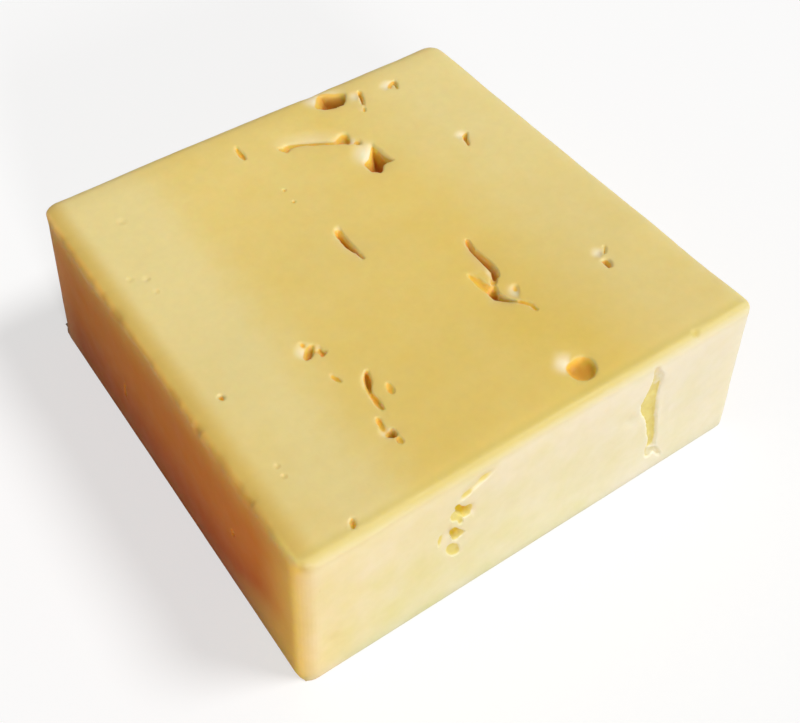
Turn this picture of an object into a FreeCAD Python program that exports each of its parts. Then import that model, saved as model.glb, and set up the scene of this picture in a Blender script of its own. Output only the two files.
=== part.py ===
"""A square block of young gouda, cut with a knife out of a big rindless loaf.

It is one piece of firm, slightly greasy cheese, so it is one solid. No cut is quite square: the
sides lean in towards the top and run a little out of parallel, and every edge is rounded by its
own amount. The eyes that the cuts have opened are one round hole, a few torn pits and a scatter
of thin slits, as cheese gets when gas splits it along its grain.

The origin is at the bottom centre, +Z up. The front is at -Y and the long way runs along Y.
Millimetres and degrees throughout.
"""
import FreeCAD, Part
import math
import os

V = FreeCAD.Vector

# The block
WIDTH = 110.0          # along X, at half the depth
DEPTH = 114.0          # along Y, at half the width
HEIGHT = 37.6

# How far each cut runs out of square from its one end to its other
FRONT_SKEW = 1.0
RIGHT_SKEW = 0.4
BACK_SKEW = 1.0
LEFT_SKEW = 2.4

# How far each cut leans in from upright
LEAN = {"front": 2.0, "right": 0.0, "back": 2.0, "left": 3.0}

# Rounding of the upright corners, named by the two cuts that meet there
CORNER_RADIUS = {"left-front": 4.0, "front-right": 2.0, "right-back": 6.0, "back-left": 7.0}
# Rounding of the top rim along each cut, and of the bottom edge all round
RIM_RADIUS = {"front": 2.0, "right": 1.3, "back": 3.0, "left": 1.0}
FOOT_RADIUS = 0.8

SIDES = ["front", "right", "back", "left"]     # anticlockwise, seen from above

# Openings lie on a face. Their place is a share of the face's half length and half height from
# its centre, along the face and up it (backwards on the top), so they keep to the face when the
# block is cut larger or smaller. Their own sizes are in millimetres.
CLEAR = 1.0            # how far a cutter stands out of the face
SLIT_BOTTOM = 0.35     # a slit's length and width at its bottom, as a share of those at its mouth
TORN_BOTTOM = 0.45     # the same for a torn pit

# Slits: face, place, length, width, turn from the face's long way, bow to one side, depth, and
# how far the bottom tucks in under one lip
SLITS = [
    ("top", (0.49, 0.80), 8.6, 1.1, 64, 0.3, 2.5, -0.8),
    ("top", (0.66, 0.82), 4.2, 1.2, 80, 0.2, 2.0, 0.4),
    ("top", (0.70, 0.34), 7.0, 1.1, 57, -0.3, 2.2, -0.6),
    ("top", (0.13, 0.68), 12.5, 1.6, -17, 0.4, 2.4, -0.9),
    ("top", (0.27, 0.62), 7.2, 2.2, -30, 0.3, 2.8, -0.8),
    ("top", (-0.05, 0.12), 12.6, 2.0, 88, 0.6, 3.0, 1.0),
    ("top", (0.32, -0.23), 14.0, 1.9, 79, 0.5, 4.0, 1.1),
    ("top", (0.23, -0.31), 10.0, 1.3, 98, -0.4, 2.6, 0.8),
    ("top", (0.27, -0.45), 9.2, 1.6, -52, -0.5, 3.2, -1.0),
    ("top", (0.72, -0.44), 3.4, 1.2, 42, 0.2, 1.6, 0.4),
    ("top", (-0.385, -0.52), 10.0, 1.1, 77, 0.3, 2.4, 0.7),
    ("top", (-0.127, 0.775), 6.0, 1.0, 94, 0.2, 1.3, 0.3),
    ("top", (-0.465, -0.40), 3.5, 1.0, 113, 0.2, 1.2, 0.3),
    ("front", (0.49, 0.40), 17.0, 1.7, 96, 0.7, 3.0, -0.8),
    ("front", (0.54, -0.10), 19.0, 2.0, 102, -0.4, 3.0, -0.8),
    ("front", (0.60, -0.72), 6.6, 1.6, -40, 0.3, 2.4, 0.6),
    ("right", (-0.52, 0.12), 13.0, 1.6, 68, 0.5, 3.0, 0.9),
    ("right", (-0.40, 0.38), 7.0, 1.2, -35, 0.3, 2.2, 0.6),
    ("right", (0.63, -0.20), 9.5, 1.4, 110, -0.4, 2.6, 0.8),
    ("back", (-0.36, 0.10), 12.0, 1.7, 75, 0.4, 3.0, 0.9),
    ("back", (0.30, 0.35), 8.0, 1.2, -28, 0.3, 2.4, 0.7),
    ("back", (0.60, -0.30), 9.0, 1.3, 100, -0.3, 2.4, 0.7),
    ("left", (-0.30, -0.25), 8.0, 1.1, 80, 0.3, 2.0, 0.6),
]

# Round and oval eyes: face, place, length, width, turn, depth. The first two are the bowl and
# the deeper hole of the one round eye.
EYES = [
    ("top", (0.262, -0.822), 7.6, 7.8, 0, 2.2),
    ("top", (0.269, -0.850), 5.6, 5.2, 20, 5.0),
    ("top", (0.698, -0.510), 2.2, 3.2, 0, 3.4),
    ("top", (-0.836, -0.268), 1.3, 1.5, 0, 1.2),
    ("top", (-0.751, -0.933), 1.6, 2.6, -25, 1.5),
    ("top", (-0.333, -0.550), 1.6, 3.4, -12, 0.9),
    ("front", (-0.366, 0.07), 3.2, 4.8, 25, 3.4),
    ("front", (-0.384, -0.17), 3.0, 4.2, 15, 1.6),
    ("right", (0.18, 0.24), 6.2, 5.8, 0, 4.4),
    ("right", (0.27, -0.34), 2.4, 3.0, 30, 2.4),
    ("back", (-0.66, -0.35), 5.4, 5.8, 0, 4.0),
    ("back", (0.05, -0.42), 2.2, 3.4, 15, 2.2),
    ("left", (0.54, 0.02), 1.6, 2.4, 0, 1.4),
]

# Torn pits: face, place, outline about that place, depth, and how far the bottom is carried
# along and up the face
TORN_PITS = [
    ("top", (0.367, 0.858), [(-3.4, 0.2), (0.7, -2.1), (2.3, -1.8), (3.3, 1.7), (0, 2.8),
                             (-2.6, 1.9)], 6.0, (0.4, -0.5)),
    ("top", (0.309, 0.447), [(-3.3, -1.0), (-1.0, -4.2), (1.5, -1.6), (4.0, -2.0), (3.0, 1.4),
                             (3.1, 6.2), (0.0, 2.2), (-2.8, 1.1)], 7.0, (-0.3, -0.6)),
    ("top", (-0.478, -0.262), [(-2.2, -1.4), (0.0, -0.8), (1.8, -2.0), (2.6, -0.9), (0.8, 0.4),
                               (-0.2, 1.7), (-1.0, 0.6)], 2.2, (0.2, -0.2)),
    ("top", (-0.444, -0.705), [(-1.4, 0.0), (0.1, -1.3), (0.9, 0.2), (0.7, 1.3)], 3.2,
     (0.1, -0.2)),
    ("front", (-0.352, 0.42), [(-1.4, 3.1), (0.4, 0.9), (1.7, 1.0), (2.4, -1.0), (1.3, -3.1),
                               (-0.8, -1.5)], 4.2, (0.5, -0.2)),
    ("right", (-0.14, -0.22), [(-2.4, 0.6), (-0.6, -1.8), (1.8, -1.0), (2.6, 1.2), (0.2, 2.2)],
     3.8, (0.2, -0.4)),
    ("back", (0.42, -0.02), [(-2.6, -0.8), (0.4, -2.2), (2.8, -0.2), (1.4, 2.4), (-1.2, 1.6)],
     4.4, (-0.2, -0.5)),
]


def base_corners():
    """Corners of the base, each named for the cut that starts there, going round from front-left."""
    half_width, half_depth = WIDTH / 2, DEPTH / 2
    return {
        "front": V(-half_width - LEFT_SKEW / 2, -half_depth - FRONT_SKEW / 2, 0),
        "right": V(half_width + RIGHT_SKEW / 2, -half_depth + FRONT_SKEW / 2, 0),
        "back": V(half_width - RIGHT_SKEW / 2, half_depth + BACK_SKEW / 2, 0),
        "left": V(-half_width + LEFT_SKEW / 2, half_depth - BACK_SKEW / 2, 0),
    }


def neighbour(side, step):
    """The cut that comes step places after this one, going round."""
    return SIDES[(SIDES.index(side) + step) % len(SIDES)]


def run_of(base, side):
    """The level direction along a cut."""
    return (base[neighbour(side, 1)] - base[side]).normalize()


def top_corners(base):
    """Corners of the top, where the leaning cuts meet at full height."""
    corners = {}
    for side in SIDES:
        before = neighbour(side, -1)
        along, along_before = run_of(base, side), run_of(base, before)
        inward = HEIGHT * math.tan(math.radians(LEAN[side]))
        inward_before = HEIGHT * math.tan(math.radians(LEAN[before]))
        # A step along either cut leaves the other cut's line by this share of the step
        meet = along_before.cross(along).z
        step = along * (inward_before / meet) - along_before * (inward / meet)
        corners[side] = base[side] + step + V(0, 0, HEIGHT)
    return corners


def block():
    """The block with sharp edges, from its eight corners."""
    base = base_corners()
    top = top_corners(base)
    loops = [[base[side] for side in reversed(SIDES)], [top[side] for side in SIDES]]
    for side in SIDES:
        after = neighbour(side, 1)
        loops.append([base[side], base[after], top[after], top[side]])
    faces = [Part.Face(Part.makePolygon(loop + loop[:1])) for loop in loops]
    return Part.Solid(Part.Shell(faces))


def edge_radii(solid):
    """A radius for each edge of the sharp block: its upright corners, its top rim and its foot."""
    base = base_corners()
    top = top_corners(base)
    middles = []
    for side in SIDES:
        after = neighbour(side, 1)
        before = neighbour(side, -1)
        middles.append(((base[side] + top[side]) / 2, CORNER_RADIUS[before + "-" + side]))
        middles.append(((top[side] + top[after]) / 2, RIM_RADIUS[side]))
        middles.append(((base[side] + base[after]) / 2, FOOT_RADIUS))
    radii = []
    for number, edge in enumerate(solid.Edges, start=1):
        middle = edge.valueAt((edge.FirstParameter + edge.LastParameter) / 2)
        nearest = min(middles, key=lambda pair: pair[0].distanceToPoint(middle))
        radii.append((number, nearest[1], nearest[1]))
    return radii


def round_edges(solid):
    """The block with every edge rounded by its own radius, all in one operation."""
    document = FreeCAD.newDocument("rounding")
    sharp = document.addObject("Part::Feature", "sharp")
    sharp.Shape = solid
    fillet = document.addObject("Part::Fillet", "fillet")
    fillet.Base = sharp
    fillet.Edges = edge_radii(solid)
    document.recompute()
    rounded = fillet.Shape.copy()
    FreeCAD.closeDocument(document.Name)
    return rounded


def face_frames():
    """For each face, its middle's placement and its half sizes. Local X runs along it, Z out."""
    base = base_corners()
    top = top_corners(base)
    top_middle = FreeCAD.Placement(V(0, 0, HEIGHT), FreeCAD.Rotation())
    frames = {"top": (top_middle, (WIDTH / 2, DEPTH / 2))}
    for side in SIDES:
        after = neighbour(side, 1)
        along = run_of(base, side)
        up = ((top[side] + top[after]) - (base[side] + base[after])).normalize()
        turn = FreeCAD.Rotation(along, up, along.cross(up), "ZXY")
        centre = (base[side] + base[after] + top[side] + top[after]) / 4
        half_length = base[side].distanceToPoint(base[after]) / 2
        frames[side] = (FreeCAD.Placement(centre, turn), (half_length, HEIGHT / 2))
    return frames


def mouth_scale(level, depth, bottom):
    """Size of a narrowing opening at a level: 1 at its mouth, bottom at its depth."""
    return 1 + (1 - bottom) * level / depth


def slit_cutter(length, width, bow, depth, tuck):
    """A wedge with a lens-shaped mouth. It narrows to its bottom and leans under one lip."""
    wires = []
    for level in (CLEAR, -depth):
        scale = mouth_scale(level, depth, SLIT_BOTTOM)
        aside = -tuck * level / depth
        start = V(-length / 2 * scale, aside, level)
        end = V(length / 2 * scale, aside, level)
        left = V(0, aside + (bow + width / 2) * scale, level)
        right = V(0, aside + (bow - width / 2) * scale, level)
        arcs = [Part.Arc(start, left, end), Part.Arc(end, right, start)]
        wires.append(Part.Wire([arc.toShape() for arc in arcs]))
    return Part.makeLoft(wires, True, True)


def eye_cutter(length, width, depth):
    """An ellipsoid half sunk in the face, as deep as it is given."""
    stretch = FreeCAD.Matrix()
    stretch.scale(V(length / 2, width / 2, depth))
    return Part.makeSphere(1).transformGeometry(stretch)


def torn_cutter(outline, depth, carry):
    """A pit with a torn, many-cornered mouth that narrows to a bottom carried to one side."""
    wires = []
    for level in (CLEAR, -depth):
        scale = mouth_scale(level, depth, TORN_BOTTOM)
        aside = V(carry[0], carry[1], 0) * (-level / depth)
        corners = [V(x * scale, y * scale, level) + aside for x, y in outline]
        wires.append(Part.makePolygon(corners + corners[:1]))
    return Part.makeLoft(wires, True, True)


def set_on_face(cutter, frame, place, turn):
    """The cutter turned on its own axis and put at its place on a face."""
    placement, half = frame
    at = FreeCAD.Placement(V(place[0] * half[0], place[1] * half[1], 0),
                           FreeCAD.Rotation(V(0, 0, 1), turn))
    cutter.Placement = placement.multiply(at)
    return cutter


def opening_cutters():
    """All the slits, eyes and torn pits, each on its own face."""
    frames = face_frames()
    cutters = []
    for face, place, length, width, turn, bow, depth, tuck in SLITS:
        cutter = slit_cutter(length, width, bow, depth, tuck)
        cutters.append(set_on_face(cutter, frames[face], place, turn))
    for face, place, length, width, turn, depth in EYES:
        cutter = eye_cutter(length, width, depth)
        cutters.append(set_on_face(cutter, frames[face], place, turn))
    for face, place, outline, depth, carry in TORN_PITS:
        cutter = torn_cutter(outline, depth, carry)
        cutters.append(set_on_face(cutter, frames[face], place, 0))
    return cutters


def gouda_block():
    """The rounded block with its openings cut into it, its origin moved to its bottom centre."""
    solid = round_edges(block())
    box = solid.BoundBox
    for cutter in opening_cutters():
        solid = solid.cut(cutter)
    solid.translate(V(-box.Center.x, -box.Center.y, -box.ZMin))
    return solid.Solids[0]


os.makedirs("parts", exist_ok=True)
gouda_block().exportStep("parts/gouda_block.step")
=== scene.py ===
"""The looks of a square cut block of young gouda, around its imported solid.

The block is one mesh: leaning cuts with rounded edges, carved by a set of small plugs, remeshed
fine, then given its hollows, waves and ragged rim by moving its vertices.
"""
import math

import bmesh
import bpy
import numpy as np
from mathutils import Matrix, Vector, noise
from mathutils.bvhtree import BVHTree


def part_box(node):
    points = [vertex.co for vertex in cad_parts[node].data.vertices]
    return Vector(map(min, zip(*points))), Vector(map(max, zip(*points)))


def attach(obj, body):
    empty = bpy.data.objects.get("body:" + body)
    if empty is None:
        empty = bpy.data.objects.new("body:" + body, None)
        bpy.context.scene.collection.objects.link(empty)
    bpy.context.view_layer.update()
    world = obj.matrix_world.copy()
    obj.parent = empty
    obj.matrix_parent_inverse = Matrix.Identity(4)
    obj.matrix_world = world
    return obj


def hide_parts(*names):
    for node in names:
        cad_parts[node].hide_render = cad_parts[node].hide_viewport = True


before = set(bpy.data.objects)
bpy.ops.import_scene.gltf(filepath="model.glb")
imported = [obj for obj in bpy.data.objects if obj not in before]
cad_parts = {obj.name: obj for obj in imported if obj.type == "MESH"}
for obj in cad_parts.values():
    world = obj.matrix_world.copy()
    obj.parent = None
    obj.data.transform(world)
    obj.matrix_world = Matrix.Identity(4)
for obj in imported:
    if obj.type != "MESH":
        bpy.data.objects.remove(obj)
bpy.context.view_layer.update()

MM = 0.001

# ---------------------------------------------------------------- the block's sizes, millimetres

SIDES = ["front", "right", "back", "left"]     # anticlockwise, seen from above

# How far each cut runs out of square, how far it leans in, and the roundings
SKEW = {"front": 1.0, "right": 0.4, "back": 1.0, "left": 2.4}
LEAN_DEGREES = {"front": 2.0, "right": 0.0, "back": 2.0, "left": 3.0}
CORNER_RADIUS = {"front": 4.0, "right": 2.0, "back": 6.0, "left": 7.0}
RIM_RADIUS = {"front": 2.0, "right": 1.3, "back": 3.0, "left": 1.0}
FOOT_RADIUS = 0.8

LOW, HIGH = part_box("gouda_block")
WIDTH = (HIGH.x - LOW.x) / MM - (SKEW["left"] + SKEW["right"]) / 2
DEPTH = (HIGH.y - LOW.y) / MM - (SKEW["front"] + SKEW["back"]) / 2
HEIGHT = (HIGH.z - LOW.z) / MM
# The skewed cuts put the box's middle a little to one side of the block's own
MIDDLE = Vector(((SKEW["left"] - SKEW["right"]) / 4, (SKEW["front"] - SKEW["back"]) / 4, 0))

# ---------------------------------------------------------------- openings
# A place is a share of a face's half length and half height from its middle, along the face and
# up it (backwards on the top). Every other size is in millimetres.

# Slits: face, place, length, width, turn from the face's long way, bow, depth, tuck under a lip
SLITS = [
    ("top", (0.465, 0.750), 3.4, 0.7, 59, 0.1, 0.7, -0.1),
    ("top", (-0.120, 0.790), 6.6, 1.5, 84, 0.2, 0.8, 0.1),
    ("top", (-0.091, 0.508), 1.6, 0.6, 70, 0.0, 0.5, 0.1),
    ("top", (-0.096, 0.430), 2.2, 0.6, 66, 0.0, 0.6, 0.1),
    ("top", (-0.401, -0.568), 9.5, 1.0, 88, 0.2, 1.0, 0.0),
    ("top", (-0.449, -0.661), 4.4, 0.9, 79, 0.1, 0.8, 0.1),
    ("top", (-0.475, -0.219), 1.9, 0.9, 106, 0.1, 0.7, 0.1),
    ("top", (-0.464, -0.407), 3.8, 0.9, 103, 0.1, 0.7, 0.1),
    ("top", (0.326, -0.424), 3.6, 0.7, 58, 0.1, 0.8, -0.1),
    ("top", (0.285, -0.349), 3.0, 0.9, 37, 0.1, 0.9, 0.1),
    ("front", (-0.429, 0.106), 4.6, 1.2, 82, 0.1, 0.6, 0.1),
    ("right", (-0.52, 0.12), 13.0, 1.6, 68, 0.5, 3.0, 0.9),
    ("right", (-0.40, 0.38), 7.0, 1.2, -35, 0.3, 2.2, 0.6),
    ("right", (0.63, -0.20), 9.5, 1.4, 110, -0.4, 2.6, 0.8),
    ("right", (0.46, 0.62), 4.4, 0.8, 50, 0.2, 1.4, 0.3),
    ("right", (-0.78, -0.38), 5.2, 0.8, 82, -0.2, 1.4, 0.3),
    ("back", (-0.36, 0.10), 12.0, 1.7, 75, 0.4, 3.0, 0.9),
    ("back", (0.30, 0.35), 8.0, 1.2, -28, 0.3, 2.4, 0.7),
    ("back", (0.60, -0.30), 9.0, 1.3, 100, -0.3, 2.4, 0.7),
    ("back", (-0.10, 0.55), 4.0, 0.8, 64, 0.2, 1.2, 0.3),
    ("back", (0.82, 0.30), 4.6, 0.8, 118, 0.1, 1.2, 0.3),
    ("left", (-0.30, -0.25), 8.0, 0.9, 80, 0.3, 1.6, 0.5),
]

# Round and oval eyes: face, place, length, width, turn, depth of the middle under the face,
# depth of the bottom
EYES = [
    ("top", (0.276, -0.849), 6.2, 5.6, 40, 0.1, 1.6),
    ("top", (-0.836, -0.268), 1.3, 1.6, 0, 0.2, 1.3),
    ("top", (-0.751, -0.933), 1.5, 2.5, -30, 0.2, 1.4),
    ("top", (-0.333, -0.551), 1.3, 3.2, -14, 0.0, 0.8),
    ("top", (-0.435, -0.749), 1.2, 2.1, -4, 0.0, 0.7),
    ("right", (0.18, 0.24), 6.6, 6.2, 0, 0.0, 1.4),
    ("right", (0.185, 0.22), 5.0, 4.8, 0, 1.4, 4.8),
    ("right", (0.27, -0.34), 2.4, 3.0, 30, 0.4, 2.6),
    ("right", (-0.02, 0.66), 1.5, 1.8, 0, 0.2, 1.4),
    ("right", (0.86, 0.40), 1.3, 1.7, 20, 0.2, 1.2),
    ("back", (-0.66, -0.35), 5.4, 5.8, 0, 1.0, 4.4),
    ("back", (0.05, -0.42), 2.2, 3.4, 15, 0.3, 2.4),
    ("back", (-0.80, 0.48), 1.4, 1.6, 0, 0.2, 1.2),
    ("left", (0.54, 0.02), 1.2, 1.9, 0, 0.1, 1.2),
]

# Torn openings: face, place, mouth's outline about that place, depth, carry of the bottom along
# and up the face, and the bottom's size as a share of the mouth's
TORN = [
    # the long-sided deep pit near the back rim
    ("top", (0.373, 0.877), [(-4.3, -0.6), (-3.4, -1.5), (-2.9, -2.2), (-1.4, -2.8), (-0.2, -3.1),
                             (1.1, -3.1), (1.9, -3.2), (2.9, -2.3), (4.0, -0.9), (4.6, 0.3), (3.6, 1.2),
                             (2.2, 2.2), (0.8, 3.4), (-0.6, 4.4), (-2.2, 2.3), (-4.0, 0.1)],
     4.0, (0.7, -1.0), 0.6),
    # the slit and the bent tear to the right of it
    ("top", (0.495, 0.818), [(1.1, 3.2), (-0.1, 1.1), (-0.8, -1.0), (-1.2, -2.2), (-1.0, -3.2),
                             (0.2, -1.3), (1.0, 0.6), (1.5, 2.1)],
     1.5, (-0.1, 0.0), 0.85),
    ("top", (0.662, 0.818), [(-1.7, -0.7), (-1.1, -0.8), (-0.2, 0.2), (0.4, 0.2), (0.1, -1.2),
                             (-0.7, -3.1), (0.1, -2.4), (0.9, -0.6), (1.5, 1.0), (1.2, 1.5), (0.2, 1.2),
                             (-0.9, 0.5)],
     1.3, (0.0, -0.1), 0.75),
    ("top", (0.698, 0.340), [(2.1, 3.0), (0.6, 2.6), (-0.2, 1.6), (-0.5, 0.1), (-1.0, -1.4),
                            (-1.9, -3.4), (-0.9, -2.6), (0.0, -0.8), (0.7, 1.1), (1.6, 2.0)],
     1.4, (-0.1, 0.0), 0.8),
    # the star-shaped deep pit
    ("top", (0.300, 0.442), [(3.4, 6.6), (1.6, 4.3), (0.2, 3.0), (-1.8, 2.0), (-2.6, 0.4), (-2.7, -1.4),
                             (-2.4, -2.6), (-1.6, -3.0), (-0.9, -3.8), (-0.4, -3.9), (0.5, -2.7),
                             (1.4, -1.9), (2.7, -1.8), (4.3, -2.0), (3.8, -0.2), (3.7, 1.9), (3.6, 4.2),
                             (3.6, 5.7)],
     4.2, (-0.5, -1.7), 0.55),
    # the long crack behind it, the hollow at its end and a last small tear
    ("top", (0.145, 0.670), [(-7.0, 2.9), (-5.9, 1.3), (-4.5, 2.0), (-2.5, 1.5), (-0.7, 0.6),
                            (1.6, -0.8), (3.8, -2.3), (5.2, -3.0), (6.3, -3.5), (7.6, -4.4),
                            (7.6, -3.0), (5.6, -1.2), (3.8, -0.2), (1.6, 1.2), (-0.6, 2.4),
                            (-2.4, 3.2), (-4.4, 3.7), (-5.8, 3.4), (-6.7, 3.8)],
     1.15, (0.0, -0.5), 0.9),
    ("top", (0.275, 0.635), [(-2.6, -0.3), (-1.4, -1.2), (0.1, -2.1), (1.3, -1.2), (2.0, 0.2),
                             (2.0, 1.4), (0.8, 2.0), (-1.0, 1.3)],
     1.9, (0.0, -0.6), 0.6),
    ("top", (0.315, 0.589), [(-1.3, -0.1), (0.4, -1.2), (1.3, 0.1), (-0.1, 1.2)],
     1.2, (-0.2, -0.4), 0.4),
    # the lens-shaped slit in the middle
    ("top", (-0.055, 0.105), [(0.6, 6.0), (-0.6, 3.8), (-1.0, 1.5), (-1.1, 0.0), (-0.6, -1.7),
                              (-0.1, -3.8), (0.3, -6.0), (0.6, -3.3), (0.8, -0.3), (0.9, 2.5),
                              (1.0, 5.2)],
     2.2, (-0.3, 0.0), 0.75),
    # the long slit right of the middle
    ("top", (0.322, -0.225), [(1.0, 6.8), (0.0, 4.8), (-0.6, 2.9), (-0.8, 1.3), (-0.8, -0.5),
                             (-0.7, -2.8), (-0.4, -4.5), (-1.5, -6.5), (-0.2, -6.4), (0.7, -4.5),
                             (0.9, -2.6), (0.9, 0.4), (0.6, 3.1), (1.2, 5.8)],
     2.5, (-0.4, -0.1), 0.85),
    # the shallow tear that turns into a deeper one, and its thin tail
    ("top", (0.238, -0.319), [(-0.9, 4.0), (-0.9, 0.0), (-0.6, -3.6), (1.4, -3.4), (0.5, 0.3)],
     0.8, (-0.1, 0.0), 0.9),
    ("top", (0.260, -0.421), [(-1.2, 2.5), (-1.9, 1.2), (-1.8, -0.1), (-0.8, -1.4), (0.8, -2.6),
                              (2.2, -3.5), (1.6, -2.5), (0.8, -1.2), (0.1, 0.8), (0.9, 3.2),
                              (0.0, 3.3)],
     2.6, (-0.4, -0.4), 0.75),
    ("top", (0.315, -0.514), [(-1.6, 2.1), (-0.8, 0.9), (0.1, -0.5), (0.2, -2.2), (0.7, -2.0),
                             (0.8, -0.3), (0.3, 1.0), (-0.8, 2.5)],
     0.7, (-0.1, 0.0), 0.85),
    # the small pit near the right rim and the shallow tear that leads to it
    ("top", (0.695, -0.512), [(-0.7, 1.1), (-0.9, 0.0), (-1.0, -1.6), (0.4, -1.4), (1.0, -0.3),
                              (1.1, 0.8), (0.7, 1.3), (0.1, 1.4)],
     1.9, (-0.1, -0.1), 0.7),
    ("top", (0.729, -0.456), [(-1.1, -0.8), (-0.3, -1.1), (1.3, 0.5), (1.1, 1.4)],
     0.8, (0.0, 0.0), 0.8),
    # the small tears on the left, the thin crack and the three-cornered pit in front of them
    ("top", (-0.476, -0.263), [(-1.8, -0.9), (-0.4, 0.8), (0.9, 1.6), (1.8, 1.4), (0.9, -0.5),
                              (-0.6, -1.4), (-1.5, -1.6)],
     1.8, (-0.2, -0.3), 0.7),
    ("top", (-0.435, -0.284), [(-0.1, 1.7), (0.2, 0.5), (0.9, -0.5), (0.0, -0.8), (-1.0, -1.5),
                              (-0.8, -0.1)],
     1.2, (0.0, -0.1), 0.7),
    ("top", (-0.376, -0.481), [(1.7, 3.6), (0.1, 1.0), (-0.8, -1.1), (-1.5, -3.4), (-0.5, -1.9),
                              (0.5, 0.0), (1.5, 2.2)],
     2.0, (-0.2, 0.0), 0.9),
    ("top", (-0.444, -0.712), [(0.8, 1.1), (-1.4, 0.1), (-0.1, -0.9), (0.9, -0.6), (1.1, 0.6)],
     2.6, (0.0, -0.3), 0.7),
    # the heart-shaped pit in the front with its shallow shelf, and the pits under it
    ("front", (-0.338, 0.394), [(-1.9, 3.6), (-1.1, 2.1), (-0.4, 1.4), (0.1, 0.5), (0.7, 0.8),
                                (1.7, -0.2), (2.0, -1.3), (1.7, -2.1), (1.0, -2.5), (0.3, -2.2),
                                (-0.5, -0.8), (-1.4, 0.6), (-2.0, 2.1)],
     1.7, (0.0, 0.2), 0.85),
    ("front", (-0.364, 0.330), [(-1.2, 2.6), (-0.1, 2.2), (1.2, -0.3), (1.4, -2.4), (0.9, -2.7),
                                (0.1, -0.9), (-1.3, -0.2), (-1.7, 1.6)],
     0.5, (0.1, 0.1), 0.9),
    ("front", (-0.363, 0.074), [(-1.4, 2.1), (-0.7, 2.3), (0.1, 1.0), (1.9, -1.1), (1.3, -1.6),
                                (0.5, -1.5), (0.2, -2.2), (-0.8, -1.1), (-1.3, 0.4)],
     1.5, (0.0, 0.2), 0.8),
    ("front", (-0.375, -0.176), [(-1.5, 1.5), (-0.6, 2.2), (1.3, 0.6), (1.6, -2.2), (0.1, -2.2),
                                 (-1.5, 0.2)],
     0.4, (0.0, 0.1), 0.85),
    ("front", (-0.294, 0.686), [(-3.4, -1.8), (-1.2, -1.5), (0.9, -0.2), (4.2, 1.4), (4.0, 2.1),
                                (0.7, 0.8), (-1.4, -0.5), (-3.3, -0.9)],
     0.4, (0.0, 0.0), 0.9),
    # the long scooped crack down the front and the tear at its foot
    ("front", (0.521, 0.144), [(-1.8, 14.8), (-1.2, 10.8), (-1.8, 8.4), (-2.8, 6.4), (-3.3, 4.4),
                              (-2.8, 2.2), (-0.9, -1.4), (0.5, -5.6), (1.6, -10.5), (1.2, -12.8),
                              (4.1, -13.0), (3.8, -8.4), (2.6, -3.4), (1.9, 1.2), (1.7, 6.8),
                              (2.0, 8.9), (1.4, 11.4), (-0.3, 14.6)],
     0.7, (-0.7, 0.0), 0.88),
    ("front", (0.580, -0.628), [(-2.4, 3.0), (-1.2, 2.0), (1.2, 0.9), (3.3, -2.1), (3.5, -4.0),
                                (0.4, -0.4), (-0.5, -1.4), (-1.8, -0.5)],
     0.4, (-0.1, 0.1), 0.85),
    ("right", (-0.14, -0.22), [(-2.4, 0.6), (-0.6, -1.8), (1.8, -1.0), (2.6, 1.2), (0.2, 2.2)],
     3.8, (0.2, -0.4), 0.5),
    ("back", (0.42, -0.02), [(-2.6, -0.8), (0.4, -2.2), (2.8, -0.2), (1.4, 2.4), (-1.2, 1.6)],
     4.4, (-0.2, -0.5), 0.5),
]

# One-sided hollows where the paste bends down to an opening: face, place of the opening's edge, length
# along the edge, reach away from it, turn of the edge, depth, and the strength of the painted highlight,
# a whitish colour laid where the bend catches the light
HOLLOWS = [
    ("top", (0.329, 0.919), 9.0, 4.2, 52, 0.5, 1.0),
    ("top", (0.414, 0.922), 9.0, 2.4, -37, 0.4, 0.4),
    ("top", (0.480, 0.842), 5.0, 2.0, 62, 0.3, 0.7),
    ("top", (0.640, 0.828), 5.6, 2.4, 38, 0.3, 1.0),
    ("top", (0.700, 0.388), 4.4, 2.0, 30, 0.3, 0.8),
    ("top", (0.307, 0.507), 11.0, 4.4, 46, 0.6, 1.0),
    ("top", (0.155, 0.700), 22.0, 4.4, -25, 0.35, 0.4),
    ("top", (0.300, 0.600), 4.0, 1.8, 40, 0.3, 0.8),
    ("top", (0.305, -0.310), 4.0, 1.6, 70, 0.3, 0.7),
    ("top", (0.320, -0.433), 5.4, 2.4, 58, 0.4, 0.9),
    ("top", (0.240, -0.330), 8.0, 1.6, 85, 0.2, 0.0),
    ("top", (0.706, -0.456), 4.4, 2.2, 45, 0.4, 1.0),
    ("top", (-0.489, -0.252), 5.4, 2.6, 50, 0.4, 0.9),
    ("top", (-0.440, -0.270), 3.0, 1.4, 60, 0.3, 0.6),
    ("top", (-0.386, -0.482), 5.0, 1.2, 66, 0.3, 0.7),
    ("top", (-0.456, -0.698), 3.4, 1.8, 45, 0.3, 0.7),
    ("top", (-0.040, 0.190), 5.0, 1.6, 70, 0.3, 0.6),
    ("top", (0.238, -0.800), 8.0, 3.4, 42, 0.2, 1.0),
    ("front", (-0.290, 0.700), 13.0, 2.6, 24, 0.4, 0.0),
    ("front", (-0.400, 0.100), 12.0, 2.4, 90, 0.3, 0.6),
    ("front", (-0.300, 0.300), 7.0, 1.6, -70, 0.2, 0.8),
    ("front", (0.562, 0.450), 9.0, 2.4, -92, 0.15, 0.2),
    ("front", (0.590, 0.000), 16.0, 2.4, -84, 0.15, 0.2),
]

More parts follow.
